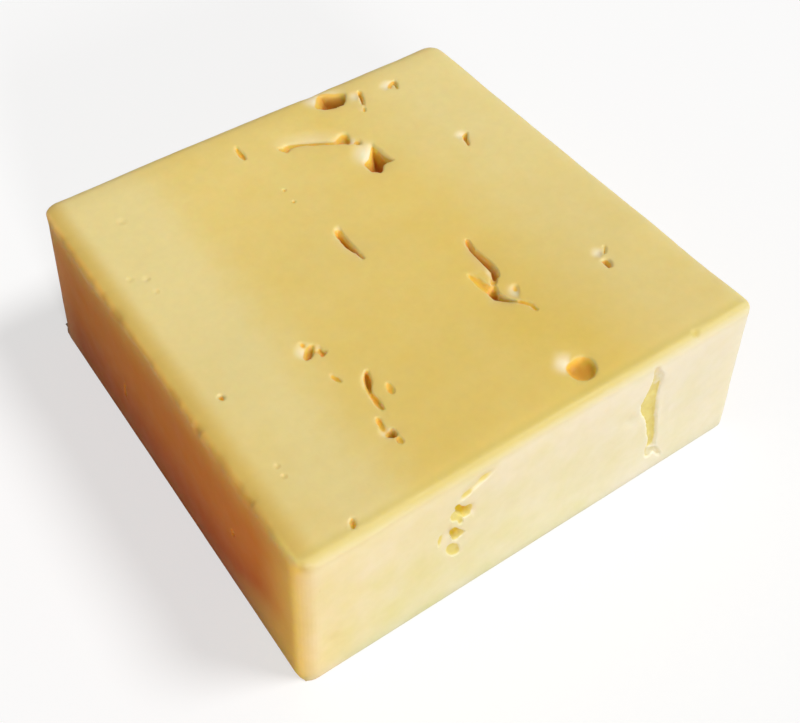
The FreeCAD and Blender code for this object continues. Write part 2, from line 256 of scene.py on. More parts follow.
# Round dimples with soft edges: face, place, width, depth
DIMPLES = [
    ("top", (0.262, -0.833), 9.6, 0.6),
    ("top", (0.720, -0.953), 2.6, 0.6),
    ("top", (-0.782, 0.368), 2.4, 0.25),
    ("top", (-0.782, 0.291), 2.0, 0.2),
    ("top", (-0.831, 0.400), 2.2, 0.25),
    ("top", (-0.713, 0.696), 3.0, 0.25),
    ("top", (-0.831, -0.614), 1.6, 0.35),
    ("top", (-0.833, -0.660), 1.6, 0.35),
    ("front", (0.430, 0.220), 6.0, 0.25),
    ("front", (-0.117, -0.070), 7.0, 0.2),
    ("front", (-0.880, -0.440), 6.0, 0.2),
]

# Nicks in the sharp left rim: place along the left cut, length, depth
NICKS = [(0.325, 4.0, 0.25), (0.655, 4.6, 0.3), (0.12, 3.0, 0.15), (-0.42, 3.4, 0.15)]

# ---------------------------------------------------------------- surface of the cuts

CLEAR = 1.0              # how far a plug stands out of its face
PLUG_LEVELS = [0.0, 0.3, 0.6, 0.85, 1.0]     # rings of a plug from its mouth down, as shares of its depth
PLUG_TAPER = 1.5         # above 1, a plug narrows mostly near its bottom
SLIT_BOTTOM = 0.6        # a slit's bottom as a share of its mouth
ARC_STEPS = 6            # pieces of each arc of a slit's outline
PLUG_PITCH = 0.22        # mesh size of the plugs
PITCH = 0.24     # mesh size of the carved block
MOST_TRIANGLES = 190000
# The next depth is where an opening's painted shade is full
DEEPEST = 4.0            # depth under the cuts at which an opening has its full colour

# The faint raised lip round an opening: its height, the width over which it fades, and the
# distance past which it is left out
LIP_HEIGHT, LIP_WIDTH, LIP_REACH = 0.12, 0.45, 1.2
# A lip starts to rise where the surface faces out of its cut by the first, and is full by the second
LIP_FACING = (0.9, 0.99)

# Hollows and dimples keep to their own face: full down to the first of these under it, gone at the
# second
FACE_KEPT, FACE_LEFT = 6.0, 9.0
EDGE_SMOOTHING = 60      # rounds of smoothing where the paste bends down to an opening

# Waves of the surface: size, height. The last one is the grain that a knife leaves in firm paste.
WAVES = [(34.0, 0.28), (11.0, 0.07), (3.2, 0.02)]
FOOT_FLAT = 2.0          # the waves die away over this height above the foot
# Roughness of the walls inside the openings: size, height
TEARS = [(2.6, 0.12), (0.9, 0.08)]
# Teeth of the sharp left rim: size, height
TEETH = [(3.6, 0.26), (9.0, 0.26), (1.6, 0.06)]
TEETH_REACH = 2.4        # how far from the rim they fade out
TEETH_DOWN = 0.6         # how far down a tooth is pressed for each millimetre inwards

# Each kind of noise starts from a seed of its own, and each seed moves the noise by this
WAVE_SEED, TEAR_SEED, TOOTH_SEED = 1, 40, 61
SEED_OFFSET = (17.3, -9.1, 5.7)
NOISE_GAIN = 1.6         # brings the noise out to about -1 and 1


# ---------------------------------------------------------------- the block's corners and faces

def neighbour(side, step):
    """The cut that comes step places after this one, going round."""
    return SIDES[(SIDES.index(side) + step) % len(SIDES)]


def base_corners():
    """Corners of the base, each named for the cut that starts there."""
    half_width, half_depth = WIDTH / 2, DEPTH / 2
    return {
        "front": MIDDLE + Vector((-half_width - SKEW["left"] / 2, -half_depth - SKEW["front"] / 2, 0)),
        "right": MIDDLE + Vector((half_width + SKEW["right"] / 2, -half_depth + SKEW["front"] / 2, 0)),
        "back": MIDDLE + Vector((half_width - SKEW["right"] / 2, half_depth + SKEW["back"] / 2, 0)),
        "left": MIDDLE + Vector((-half_width + SKEW["left"] / 2, half_depth - SKEW["back"] / 2, 0)),
    }


def top_corners(base):
    """Corners of the top, where the leaning cuts meet at full height."""
    corners = {}
    for side in SIDES:
        before = neighbour(side, -1)
        along = (base[neighbour(side, 1)] - base[side]).normalized()
        along_before = (base[side] - base[before]).normalized()
        inward = HEIGHT * math.tan(math.radians(LEAN_DEGREES[side]))
        inward_before = HEIGHT * math.tan(math.radians(LEAN_DEGREES[before]))
        meet = along_before.cross(along).z
        step = along * (inward_before / meet) - along_before * (inward / meet)
        corners[side] = base[side] + step + Vector((0, 0, HEIGHT))
    return corners


BASE = base_corners()
TOP = top_corners(BASE)


def face_frame(face):
    """A face's placement, whose local X runs along it and Z out of it, and its half sizes."""
    if face == "top":
        return Matrix.Translation(MIDDLE + Vector((0, 0, HEIGHT))), (WIDTH / 2, DEPTH / 2)
    after = neighbour(face, 1)
    corners = (BASE[face], BASE[after], TOP[face], TOP[after])
    along = (corners[1] - corners[0]).normalized()
    up = (corners[2] + corners[3] - corners[0] - corners[1]).normalized()
    turn = Matrix((along, up, along.cross(up))).transposed()
    centre = sum(corners, Vector()) / 4
    half_length = (corners[1] - corners[0]).length / 2
    return Matrix.Translation(centre) @ turn.to_4x4(), (half_length, HEIGHT / 2)


def outward(face):
    """The direction in which a face looks."""
    return face_frame(face)[0].to_3x3().col[2]


def placed(face, place, turn):
    """The matrix that puts a shape made at the origin at a place on a face."""
    matrix, half = face_frame(face)
    at = Matrix.Translation((place[0] * half[0], place[1] * half[1], 0))
    return matrix @ at @ Matrix.Rotation(math.radians(turn), 4, "Z")


# ---------------------------------------------------------------- mesh helpers

def new_piece(name, bm):
    """A new object from a bmesh, with its faces pointing out."""
    bmesh.ops.recalc_face_normals(bm, faces=bm.faces)
    mesh = bpy.data.meshes.new(name)
    bm.to_mesh(mesh)
    bm.free()
    piece = bpy.data.objects.new(name, mesh)
    bpy.context.scene.collection.objects.link(piece)
    return piece


def apply_modifier(piece, kind, **settings):
    """Adds one modifier, makes its result the piece's mesh and takes the modifier off again."""
    modifier = piece.modifiers.new(kind.lower(), kind)
    for name, value in settings.items():
        setattr(modifier, name, value)
    depsgraph = bpy.context.evaluated_depsgraph_get()
    mesh = bpy.data.meshes.new_from_object(piece.evaluated_get(depsgraph))
    piece.modifiers.clear()
    old = piece.data
    piece.data = mesh
    bpy.data.meshes.remove(old)
    return piece


def places_of(mesh):
    """Every vertex's place in millimetres, as rows of an array."""
    flat = np.empty(len(mesh.vertices) * 3, np.float32)
    mesh.vertices.foreach_get("co", flat)
    return flat.reshape(-1, 3).astype(float) / MM


def put_places(mesh, places):
    """Moves every vertex to its row of an array of millimetres."""
    mesh.vertices.foreach_set("co", (places * MM).astype(np.float32).ravel())
    mesh.update()


def normals_of(mesh):
    """Every vertex's normal, as rows of an array."""
    flat = np.empty(len(mesh.vertices) * 3, np.float32)
    mesh.vertex_normals.foreach_get("vector", flat)
    return flat.reshape(-1, 3).astype(float)


def noise_at(places, size, seed):
    """Smooth noise from about -1 to 1 at each place, with waves of about that size."""
    offset = Vector([seed * part for part in SEED_OFFSET])
    return np.array([noise.noise(Vector(place) / size + offset) for place in places]) * NOISE_GAIN


def noises_at(places, rows, first_seed):
    """The sum of several noises at each place, from rows of size and height in millimetres."""
    return sum(noise_at(places, size, seed) * height
               for seed, (size, height) in enumerate(rows, start=first_seed))


def smooth_step(values):
    """0 below 0, 1 above 1 and a smooth rise between."""
    clipped = np.clip(values, 0, 1)
    return clipped * clipped * (3 - 2 * clipped)


def search_tree(mesh):
    """A tree that finds the nearest spot on a mesh."""
    bm = bmesh.new()
    bm.from_mesh(mesh)
    tree = BVHTree.FromBMesh(bm)
    bm.free()
    return tree


# ---------------------------------------------------------------- the uncut block

def rounded_block():
    """The block before its openings: a cube drawn to its eight corners, with rounded edges."""
    bm = bmesh.new()
    bmesh.ops.create_cube(bm, size=2.0)
    named = {(-1, -1): "front", (1, -1): "right", (1, 1): "back", (-1, 1): "left"}
    corner_of = {}
    for vert in bm.verts:
        side = named[(round(vert.co.x), round(vert.co.y))]
        corner_of[vert] = (side, vert.co.z > 0)
    weight = bm.edges.layers.float.new("bevel_weight_edge")
    most = max(CORNER_RADIUS.values())
    for edge in bm.edges:
        (side, upper), (other, other_upper) = (corner_of[vert] for vert in edge.verts)
        first = side if neighbour(side, 1) == other else other
        if upper != other_upper:
            radius = CORNER_RADIUS[side]
        elif upper:
            radius = RIM_RADIUS[first]
        else:
            radius = FOOT_RADIUS
        edge[weight] = radius / most
    for vert, (side, upper) in corner_of.items():
        vert.co = (TOP if upper else BASE)[side] * MM
    piece = new_piece("uncut_block", bm)
    return apply_modifier(piece, "BEVEL", limit_method="WEIGHT", width=most * MM, segments=8, profile=0.5)


# ---------------------------------------------------------------- plugs that carve the openings

def plug(outline, depth, carry, bottom):
    """A closed plug in the shape of an opening: its mouth's outline, narrowing as it goes down."""
    bm = bmesh.new()
    floor = bm.faces.new([bm.verts.new((x, y, CLEAR)) for x, y in outline])
    size, level = 1.0, 0.0
    for next_level in PLUG_LEVELS:
        next_size = 1 - (1 - bottom) * next_level ** PLUG_TAPER
        grown = bmesh.ops.extrude_face_region(bm, geom=[floor, *floor.edges])["geom"]
        floor = next(item for item in grown if isinstance(item, bmesh.types.BMFace))
        before = Matrix.Diagonal((1 / size, 1 / size, 0, 1)) @ Matrix.Translation(
            (-carry[0] * level, -carry[1] * level, 0))
        after = Matrix.Translation((carry[0] * next_level, carry[1] * next_level, -depth * next_level)
                                   ) @ Matrix.Diagonal((next_size, next_size, 1, 1))
        bmesh.ops.transform(bm, matrix=after @ before, verts=list(floor.verts))
        size, level = next_size, next_level
    return bm


def lens_outline(length, width, bow):
    """The outline of a slit: two arcs that meet in a sharp point at each end."""
    shares = [2 * step / ARC_STEPS - 1 for step in range(ARC_STEPS + 1)]
    arc = [(share * length / 2, 1 - share * share) for share in shares]
    upper = [(x, (bow + width / 2) * rise) for x, rise in arc]
    lower = [(x, (bow - width / 2) * rise) for x, rise in arc[1:-1]]
    return lower + upper[::-1]


def eye_plug(length, width, middle, bottom):
    """An ellipsoid whose middle lies under the face, as a gas bubble leaves."""
    bm = bmesh.new()
    bmesh.ops.create_icosphere(bm, subdivisions=4, radius=1.0)
    reach = bottom - middle
    bmesh.ops.scale(bm, vec=(length / 2, width / 2, reach), verts=bm.verts)
    bmesh.ops.translate(bm, vec=(0, 0, -middle), verts=bm.verts)
    return bm


def gather(whole, bm, matrix):
    """Adds one plug to the others at its place, and frees it."""
    bmesh.ops.transform(bm, matrix=Matrix.Scale(MM, 4) @ matrix, verts=bm.verts)
    bmesh.ops.recalc_face_normals(bm, faces=bm.faces)
    mesh = bpy.data.meshes.new("plug")
    bm.to_mesh(mesh)
    bm.free()
    whole.from_mesh(mesh)
    bpy.data.meshes.remove(mesh)


def all_plugs():
    """Every opening's plug in one mesh, melted together where they meet and roughened."""
    whole = bmesh.new()
    for face, place, length, width, turn, bow, depth, tuck in SLITS:
        outline = lens_outline(length, width, bow)
        gather(whole, plug(outline, depth, (0, tuck), SLIT_BOTTOM), placed(face, place, turn))
    for face, place, length, width, turn, middle, bottom in EYES:
        gather(whole, eye_plug(length, width, middle, bottom), placed(face, place, turn))
    for face, place, outline, depth, carry, bottom in TORN:
        gather(whole, plug(outline, depth, carry, bottom), placed(face, place, 0))
    mesh = bpy.data.meshes.new("plugs")
    whole.to_mesh(mesh)
    whole.free()
    plugs = bpy.data.objects.new("plugs", mesh)
    bpy.context.scene.collection.objects.link(plugs)
    apply_modifier(plugs, "REMESH", mode="VOXEL", voxel_size=PLUG_PITCH * MM)
    places = places_of(plugs.data)
    normals = normals_of(plugs.data)
    for seed, (size, height) in enumerate(TEARS, start=TEAR_SEED):
        places += normals * (noise_at(places, size, seed) * height)[:, None]
    put_places(plugs.data, places)
    return plugs


# ---------------------------------------------------------------- the finished surface

def spots_on(places, face, place, turn=0.0):
    """Each place seen from a spot on a face: along it, up it and out of it."""
    local = np.array(placed(face, place, turn).inverted())
    return (places @ local[:3, :3].T + local[:3, 3]).T


def near_face(out):
    """1 on a face and just under it, and 0 far down, from each place's distance out of it."""
    return smooth_step((out + FACE_LEFT) / (FACE_LEFT - FACE_KEPT))


def hollow_depth(places, face, place, length, reach, turn):
    """How much of a one-sided hollow each place has, from 0 to 1."""
    along, away, out = spots_on(places, face, place, turn)
    # It starts just behind the opening's edge and fades out over its reach and towards its ends
    across = smooth_step(away / (0.3 * reach) + 1.2) * (1 - smooth_step(away / reach))
    ends = 1 - smooth_step(np.abs(along) / (length / 2))
    return across * ends * near_face(out)


def dimple_depth(places, face, place, width):
    """How much of a round dimple each place has, from 0 to 1."""
    along, up, out = spots_on(places, face, place)
    return (1 - smooth_step(np.hypot(along, up) / (width / 2))) * near_face(out)


def soften_bent_edges(piece):
    """Melts the edges of the openings where the paste bends down to them."""
    places = places_of(piece.data)
    soft = np.zeros(len(places))
    for face, place, length, reach, turn, _, _ in HOLLOWS:
        soft = np.maximum(soft, hollow_depth(places, face, place, length, reach, turn))
    group = piece.vertex_groups.new(name="bent_edges")
    # Half a hollow's depth is enough for full softening
    for index in np.nonzero(soft > 0.02)[0]:
        group.add([int(index)], float(min(1.0, 2 * soft[index])), "REPLACE")
    apply_modifier(piece, "SMOOTH", factor=0.5, iterations=EDGE_SMOOTHING, vertex_group="bent_edges")
    piece.vertex_groups.clear()


def sink_hollows(piece):
    """Presses the hollows and dimples in, each straight into its face."""
    places = places_of(piece.data)
    moves = np.zeros_like(places)
    for face, place, length, reach, turn, depth, _ in HOLLOWS:
        share = hollow_depth(places, face, place, length, reach, turn)
        moves -= (share * depth)[:, None] * np.array(outward(face))
    for face, place, width, depth in DIMPLES:
        share = dimple_depth(places, face, place, width)
        moves -= (share * depth)[:, None] * np.array(outward(face))
    put_places(piece.data, places + moves)


def raise_lips(piece, plugs):
    """Lifts a thin lip round each opening, as tearing paste leaves it."""
    places = places_of(piece.data)
    normals = normals_of(piece.data)
    tree = search_tree(plugs.data)
    near = np.full(len(places), np.inf)
    for index, vert in enumerate(piece.data.vertices):
        distance = tree.find_nearest(vert.co, LIP_REACH * MM)[3]
        if distance is not None:
            near[index] = distance / MM
    picked = np.nonzero(near < LIP_REACH)[0]
    outer = np.zeros(len(picked))
    for face in ("top", *SIDES):
        facing = normals[picked] @ np.array(outward(face))
        outer = np.maximum(outer, smooth_step((facing - LIP_FACING[0]) / (LIP_FACING[1] - LIP_FACING[0])))
    lift = np.exp(-near[picked] / LIP_WIDTH) * LIP_HEIGHT * outer
    places[picked] += normals[picked] * lift[:, None]
    put_places(piece.data, places)


def wave_heights(places):
    """How far the waves of the cuts lift each place, in millimetres. The foot stays flat."""
    return noises_at(places, WAVES, WAVE_SEED) * smooth_step(places[:, 2] / FOOT_FLAT)


def wave_surface(piece):
    """Gives the flat cuts their slow waves and their fine unevenness."""
    places = places_of(piece.data)
    places += normals_of(piece.data) * wave_heights(places)[:, None]
    put_places(piece.data, places)


def near_left_rim(places):
    """1 on the sharp left rim, falling to 0 a little way from it."""
    half = face_frame("left")[1]
    _, up, out = spots_on(places, "left", (0, 0))
    return smooth_step(1 - np.hypot(up - half[1], out) / TEETH_REACH)


def ragged_left_rim(piece):
    """Breaks the sharp left rim into small uneven teeth and nicks, as a dragged knife leaves it."""
    places = places_of(piece.data)
    half_length = face_frame("left")[1][0]
    near = near_left_rim(places)
    picked = np.nonzero(near > 0)[0]
    along = spots_on(places, "left", (0, 0))[0][picked]
    teeth = noises_at(np.array([(spot, 0, 0) for spot in along]), TEETH, TOOTH_SEED)
    for place, length, depth in NICKS:
        off = (along - place * half_length) / length
        teeth += depth * (smooth_step(2 * off + 1) - smooth_step(4 * off - 1))
    inward = -np.array(outward("left")) + np.array((0, 0, -TEETH_DOWN))
    places[picked] += (teeth * near[picked])[:, None] * inward
    put_places(piece.data, places)


def mark_depth(piece, uncut):
    """Stores how deep each vertex lies in an opening and how much painted highlight it gets, from 0 to 1.

    The waves, the soft hollows, the dimples and the nicked rim don't count as openings.
    """
    tree = search_tree(uncut.data)
    places = places_of(piece.data)
    depths = np.array([tree.find_nearest(vert.co)[3] / MM for vert in piece.data.vertices])
    depths -= np.abs(wave_heights(places))
    painted_highlight = np.zeros(len(places))
    for face, place, length, reach, turn, depth, whitish in HOLLOWS:
        share = hollow_depth(places, face, place, length, reach, turn)
        depths -= share * depth
        painted_highlight = np.maximum(painted_highlight, share * whitish)
    for face, place, width, depth in DIMPLES:
        depths -= dimple_depth(places, face, place, width) * depth
    depths *= 1 - smooth_step(3 * near_left_rim(places))
    for name, values in (("inside", depths / DEEPEST), ("painted_highlight", painted_highlight)):
        layer = piece.data.attributes.new(name, "FLOAT", "POINT")
        layer.data.foreach_set("value", np.clip(values, 0, 1))


def gouda():
    """The finished block."""
    uncut = rounded_block()
    plugs = all_plugs()
    piece = bpy.data.objects.new("gouda", uncut.data.copy())
    bpy.context.scene.collection.objects.link(piece)
    apply_modifier(piece, "BOOLEAN", operation="DIFFERENCE", solver="MANIFOLD", object=plugs)
    apply_modifier(piece, "REMESH", mode="VOXEL", voxel_size=PITCH * MM)
    apply_modifier(piece, "SMOOTH", factor=0.5, iterations=2)
    raise_lips(piece, plugs)
    soften_bent_edges(piece)
    sink_hollows(piece)
    wave_surface(piece)
    ragged_left_rim(piece)
    triangles = sum(len(polygon.vertices) - 2 for polygon in piece.data.polygons)
    apply_modifier(piece, "DECIMATE", ratio=min(1.0, MOST_TRIANGLES / triangles))
    mark_depth(piece, uncut)
    piece.data.shade_smooth()
    bpy.data.objects.remove(plugs)
    bpy.data.objects.remove(uncut)
    return piece


# ---------------------------------------------------------------- materials

def linear(code):
    """An sRGB hex colour as linear red, green and blue, with an alpha of 1."""
    parts = [int(code[start:start + 2], 16) / 255 for start in (1, 3, 5)]
    parts = [part / 12.92 if part <= 0.04045 else ((part + 0.055) / 1.055) ** 2.4 for part in parts]
    return (*parts, 1.0)


# The top of the block, from its golden middle to its cream sides, and the bands of painted shade along
# its rims
GOLDEN = linear("#e8c861")
CREAM = linear("#edda95")
RIM_SHADE = linear("#dab85a")
FRONT_RIM_SHADE = linear("#c8b55e")

# The left cut, coloured with painted shade and painted light: its orange middle, darker low down, and
# lighter near the front cut and near the back one
LEFT_SHADED_MIDDLE = linear("#e1962c")
LEFT_FOOT_SHADE = linear("#c4520c")
LEFT_NEAR_END_LIGHT = linear("#fff484")
LEFT_FAR_END_LIGHT = linear("#ffc986")

# The back and right cuts, high and low, with painted shade at the foot, and the front cut from left to
# right
FAR_SIDE = linear("#e9cd74")
FAR_FOOT_SHADE = linear("#dfb554")
# The front cut's whiter colours are painted light, the brightness and sheen of its lit face
FRONT_YELLOW = linear("#e2dc9f")
FRONT_PALE_LIT = linear("#efe8d0")

# The openings: a whitish painted highlight on their bent edges, then painted shade on the torn walls from
# shallow to deep, and on those in the front cut
HIGHLIGHT_WHITE = linear("#f6ecd2")
# Painted shade in the openings: a stronger yellow on shallow walls, and orange and darker deep down,
# standing in for shade and light glowing through the paste
TORN_YELLOW_SHADE = linear("#f2c445")
TORN_ORANGE_SHADE = linear("#e2aa3e")
TORN_DEEP_SHADE = linear("#c4741f")
FRONT_TORN_SHADE = linear("#e2d268")
FRONT_DEEP_SHADE = linear("#e6c81e")

# Painted light on the top: how light it is in front and at the back, as shares of those colours
PAINTED_LIGHT_BACK = (0.98, 1.04)

# Shares of cream on the top and of the whiter colour on the front cut: on the top partly the paste's own
# tone and partly painted light, on the front painted light. Each row names an axis, the two places along
# it in millimetres, and the share that is added at each of them.
CREAM_AND_LIGHT_SHARES = [
    ("X", 14.0, 42.0, 0.15, 0.75),
    ("X", -20.0, -38.0, 0.0, 0.7),
    ("X", 2.0, 16.0, 0.15, 0.0),
    ("X", -38.0, -50.0, 0.0, -0.2),
    ("Y", -50.0, 36.0, -0.1, 0.15),
]
FRONT_PALE_LIT_SHARES = [("X", -56.0, 56.0, 0.2, 0.8), ("Z", 8.0, HEIGHT, 0.0, 0.3)]

# Clouds in the paste: size in millimetres, lowest and highest share
CREAM_CLOUDS = (26.0, -0.03, 0.06)
PALE_CLOUDS = (9.0, -0.25, 0.25)
BLOTCHES = (6.0, 0.0, 1.0)
MOTTLE = (2.2, 0.985, 1.015)
GRAIN = (1.0, 0.0, 1.0)
GRAIN_HEIGHT = 0.02      # millimetres; the knife leaves a grain that fine

# How far light soaks into the paste: shares for red, green and blue, and millimetres on the cuts
# and on the torn walls, with the share of light that soaks in on each
SOAK = (1.0, 0.6, 0.2)
SOAK_DEPTH = (9.0, 5.0)
SOAK_SHARE = (0.65, 0.95)

# The table and the light
TABLE_RADIUS = 3000.0
TABLE_EVENNESS = 0.6      # how much of its white doesn't depend on the light
TABLE_BOUNCE = linear("#b4a894")        # in front and on the right
TABLE_WARM_BOUNCE = linear("#ffaf5c")   # on the shaded left, as from a warm wooden board
TABLE_DIM_BOUNCE = linear("#ae7640")    # further back on the left
WARM_ACROSS = (-42.0, -58.0)            # millimetres along X over which the bounce turns warm
WARM_BACK = (-60.0, 50.0)               # and along Y over which it dims
MIRRORED = 0.3            # how much of the white surround shows in the greasy sheen
WHITE = linear("#ffffff")
WORLD_LIGHT = linear("#fff4ea")
WORLD_STRENGTH = 0.12
# Lamps: strength, azimuth to the right of the front, elevation, softness
KEY = (1.75, -11.0, 15.0, 12.0)
TOP_LIGHT = (2.42, 60.0, 55.0, 20.0)

# The camera looks at a point near the middle of the block
AIM = Vector((-2.9, -13.5, 18.8))
DISTANCE = 268.6
AZIMUTH = -35.38
ELEVATION = 48.65
ROLL = 0.52
LENS = 56.57              # millimetres, on a sensor 36 mm wide

# The inputs of a Map Range node in the order of a row here, and a Mix node's two colour inputs
SPAN = ("Value", "From Min", "From Max", "To Min", "To Max")
BELOW, ABOVE = 6, 7


def add_node(tree, kind, inputs=None, **properties):
    """Adds one node. An input takes a value, or the socket that feeds it."""
    node = tree.nodes.new(kind)
    for name, value in properties.items():
        setattr(node, name, value)
    for name, value in (inputs or {}).items():
        if isinstance(value, bpy.types.NodeSocket):
            tree.links.new(value, node.inputs[name])
        else:
            node.inputs[name].default_value = value
    return node


def clouds(tree, place, size, low, high):
    """Clouds in the paste about that many millimetres across, from low to high."""
    texture = add_node(tree, "ShaderNodeTexNoise",
                       {"Vector": place, "Scale": 1 / size, "Detail": 3.0, "Roughness": 0.55})
    spread = add_node(tree, "ShaderNodeMapRange",
                      dict(zip(SPAN, (texture.outputs["Fac"], 0.3, 0.7, low, high))))
    return spread.outputs[0]


def under_cut(tree, place, face):
    """How many millimetres a place lies under the plane of that cut."""
    out = outward(face)
    along = add_node(tree, "ShaderNodeVectorMath", {0: place, 1: out}, operation="DOT_PRODUCT")
    plane = out.dot(face_frame(face)[0].translation)
    return add_node(tree, "ShaderNodeMath", {0: plane, 1: along.outputs["Value"]},
                    operation="SUBTRACT").outputs[0]


def piled_up(tree, shares):
    """The sum of several shares, kept from 0 to 1."""
    total = shares[0]
    for share in shares[1:]:
        total = add_node(tree, "ShaderNodeMath", {0: total, 1: share}, operation="ADD",
                         use_clamp=share is shares[-1]).outputs[0]
    return total


def lay_over(tree, colour, paint, span, strength=None):
    """Lays paint over a colour, along a span of a value, its start, its end and the share at each."""
    share = add_node(tree, "ShaderNodeMapRange", dict(zip(SPAN, span)),
                     interpolation_type="SMOOTHSTEP").outputs[0]
    if strength is not None:
        share = add_node(tree, "ShaderNodeMath", {0: share, 1: strength}, operation="MULTIPLY").outputs[0]
    return add_node(tree, "ShaderNodeMix", {"Factor": share, BELOW: colour, ABOVE: paint},
                    data_type="RGBA").outputs[2]


def cheese_paste():
    """Young gouda paste, cut with a knife: dense, waxy and a little translucent.

    The eye sees a golden yellow that drifts to cream towards the sides, partly from painted light, a
    whiter front cut from painted light, a left cut made deep orange by painted shade, a mild yellow on
    the other two, painted shade along the rims and inside the openings, and a whitish painted highlight
    on their bent edges.
    """
    material = bpy.data.materials.new("young_gouda_paste")
    material.use_nodes = True
    tree = material.node_tree
    tree.nodes.clear()

    # Places in millimetres, so that every size below is one too
    place = add_node(tree, "ShaderNodeVectorMath",
                     {0: add_node(tree, "ShaderNodeTexCoord").outputs["Object"], "Scale": 1 / MM},
                     operation="SCALE").outputs[0]
    axes = add_node(tree, "ShaderNodeSeparateXYZ", {"Vector": place}).outputs
    front, right, back, left = (under_cut(tree, place, side) for side in SIDES)
    blotches = clouds(tree, place, *BLOTCHES)
    # How deep in an opening, in millimetres
    depth = add_node(tree, "ShaderNodeMath",
                     {0: add_node(tree, "ShaderNodeAttribute", attribute_name="inside").outputs["Fac"],
                      1: DEEPEST}, operation="MULTIPLY").outputs[0]

    # Shares and lengths that change smoothly: how far the side colours reach up to the rim, the front
    # colour too, how far the painted light of the front corner reaches along the left cut, how much
    # painted light lightens the top towards the back, how strong the painted shade of torn walls is away
    # from the front cut, and how the light soaks in
    side_reach, front_reach, lit_corner_reach, painted_back_light, torn_strength, soak_share, soak_depth = (
        add_node(tree, "ShaderNodeMapRange", dict(zip(SPAN, span)),
                 interpolation_type="SMOOTHSTEP").outputs[0]
        for span in (
            (axes["Z"], HEIGHT - 5, HEIGHT - 1, 4.0, 1.5),
            (axes["Z"], HEIGHT - 5, HEIGHT - 1, 3.4, 1.3),
            (axes["Z"], 2.0, 16.0, 36.0, 17.0),
            (axes["Y"], -57.0, 57.0, *PAINTED_LIGHT_BACK),
            (front, 1.5, 4.0, 0.85, 1.0),
            (depth, 0.1, 1.2, *SOAK_SHARE),
            (depth, 0.1, 1.2, *(length * MM for length in SOAK_DEPTH)),
        ))

    # Slow drift from a golden middle to cream on both sides, in clouds, partly painted light, and the
    # same for the front, whose whiter colour is painted light
    cream, pale = ([add_node(tree, "ShaderNodeMapRange", dict(zip(SPAN, (axes[axis], *span))),
                             interpolation_type="SMOOTHSTEP").outputs[0]
                    for axis, *span in rows]
                   for rows in (CREAM_AND_LIGHT_SHARES, FRONT_PALE_LIT_SHARES))
    patches = add_node(tree, "ShaderNodeMath", {0: blotches, 1: 0.14, 2: -0.07},
                       operation="MULTIPLY_ADD").outputs[0]
    cream = piled_up(tree, [*cream, clouds(tree, place, *CREAM_CLOUDS), patches])
    pale = piled_up(tree, [*pale, clouds(tree, place, *PALE_CLOUDS)])
    colour, front_colour = (
        add_node(tree, "ShaderNodeMix", {"Factor": share, BELOW: below, ABOVE: above},
                 data_type="RGBA").outputs[2]
        for share, below, above in ((cream, GOLDEN, CREAM), (pale, FRONT_YELLOW, FRONT_PALE_LIT)))
    # Painted light: the top grows lighter towards the back
    colour = add_node(tree, "ShaderNodeVectorMath", {0: colour, "Scale": painted_back_light},
                      operation="SCALE").outputs[0]

    # Painted shade along the rims: a deeper, darker yellow
    colour = lay_over(tree, colour, RIM_SHADE, (left, 1.0, 6.0, 0.95, 0.0))
    colour = lay_over(tree, colour, RIM_SHADE, (back, 1.0, 9.0, 0.3, 0.0))
    colour = lay_over(tree, colour, FRONT_RIM_SHADE, (front, 1.0, 4.0, 0.8, 0.0))

    # The back and right cuts are a mild yellow, with painted shade that makes them a little deeper near
    # the foot
    far_shaded_colour = lay_over(tree, FAR_SIDE, FAR_FOOT_SHADE, (axes["Z"], 0.0, 24.0, 1.0, 0.0))
    for under in (back, right):
        colour = lay_over(tree, colour, far_shaded_colour, (under, 0.1, side_reach, 1.0, 0.0))

    # The left one is painted shade: a deep orange, darkest at the foot, with painted light near the front
    # and back cuts and higher up towards the rim
    left_shaded_colour = lay_over(tree, LEFT_SHADED_MIDDLE, LEFT_FOOT_SHADE, (axes["Z"], 0.0, 24.0, 1.0, 0.0))
    left_shaded_colour = lay_over(tree, left_shaded_colour, LEFT_NEAR_END_LIGHT, (front, 0.5, lit_corner_reach, 1.0, 0.0))
    left_shaded_colour = lay_over(tree, left_shaded_colour, LEFT_FAR_END_LIGHT, (back, 0.0, 16.0, 1.0, 0.0))
    left_shaded_colour = lay_over(tree, left_shaded_colour, GOLDEN, (axes["Z"], 26.0, HEIGHT, 0.0, 0.5))
    colour = lay_over(tree, colour, left_shaded_colour, (left, 0.1, side_reach, 1.0, 0.0))

    # The front cut is lighter and whiter, most of all towards the right and higher up: painted light, the
    # brightness and sheen of the lit face
    # Painted shade along the top of the front cut, to darken the rim that both lamps light
    front_colour = lay_over(tree, front_colour, FRONT_RIM_SHADE, (axes["Z"], HEIGHT - 3.5, HEIGHT, 0.0, 0.5))
    colour = lay_over(tree, colour, front_colour, (front, -0.4, front_reach, 1.0, 0.0))

    # The bent edges get a whitish painted highlight. Painted shade inside the openings: a torn wall is a
    # stronger yellow, and a deep one orange and darker.
    painted_highlight = add_node(tree, "ShaderNodeAttribute", attribute_name="painted_highlight").outputs["Fac"]
    colour = lay_over(tree, colour, HIGHLIGHT_WHITE, (depth, 0.1, 0.4, 0.75, 0.0), painted_highlight)
